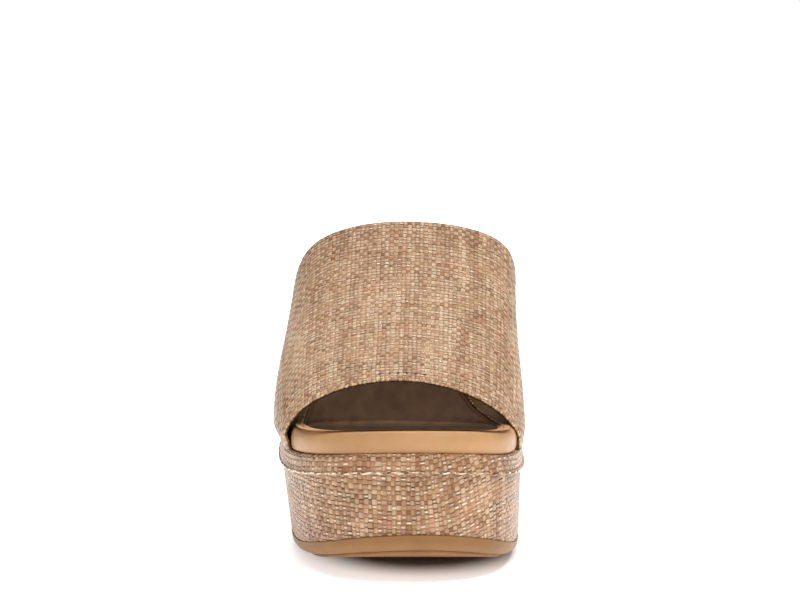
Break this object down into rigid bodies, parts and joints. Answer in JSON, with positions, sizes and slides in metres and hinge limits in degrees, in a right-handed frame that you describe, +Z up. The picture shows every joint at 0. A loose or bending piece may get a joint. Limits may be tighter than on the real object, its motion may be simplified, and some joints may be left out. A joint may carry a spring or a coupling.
{
  "type": "platform slide sandal",
  "caption": "Open-toe, open-back platform slide for the right foot, with one wide woven band, a wrapped wedge platform, a cushioned footbed and a thin outsole.",
  "frame": {"origin": "on the floor, midway between toe and heel and on the sole's centre line", "axes": "+Z up from the floor; +Y from toe to heel along the shoe's length; +X to the big toe side of this right shoe"},
  "size_m": [0.0959, 0.2554, 0.1173],
  "materials": {
    "tan_rubber": "matte, smooth moulded",
    "woven_straw": "plain weave of flat straw strips, slightly glossy",
    "woven_straw_cuff": "plain weave of flat straw strips, stitched",
    "tan_leather": "smooth, softly glossy",
    "taupe_suede": "matte, brushed",
    "woven_straw_band": "plain weave of flat straw strips, slightly glossy"
  },
  "bodies": {
    "root": {"outsole": "tan_rubber", "platform": "woven_straw", "cuff": "woven_straw_cuff", "footbed": "tan_leather", "sock_panel": "taupe_suede", "upper": "woven_straw_band"}
  },
  "joints": []
}
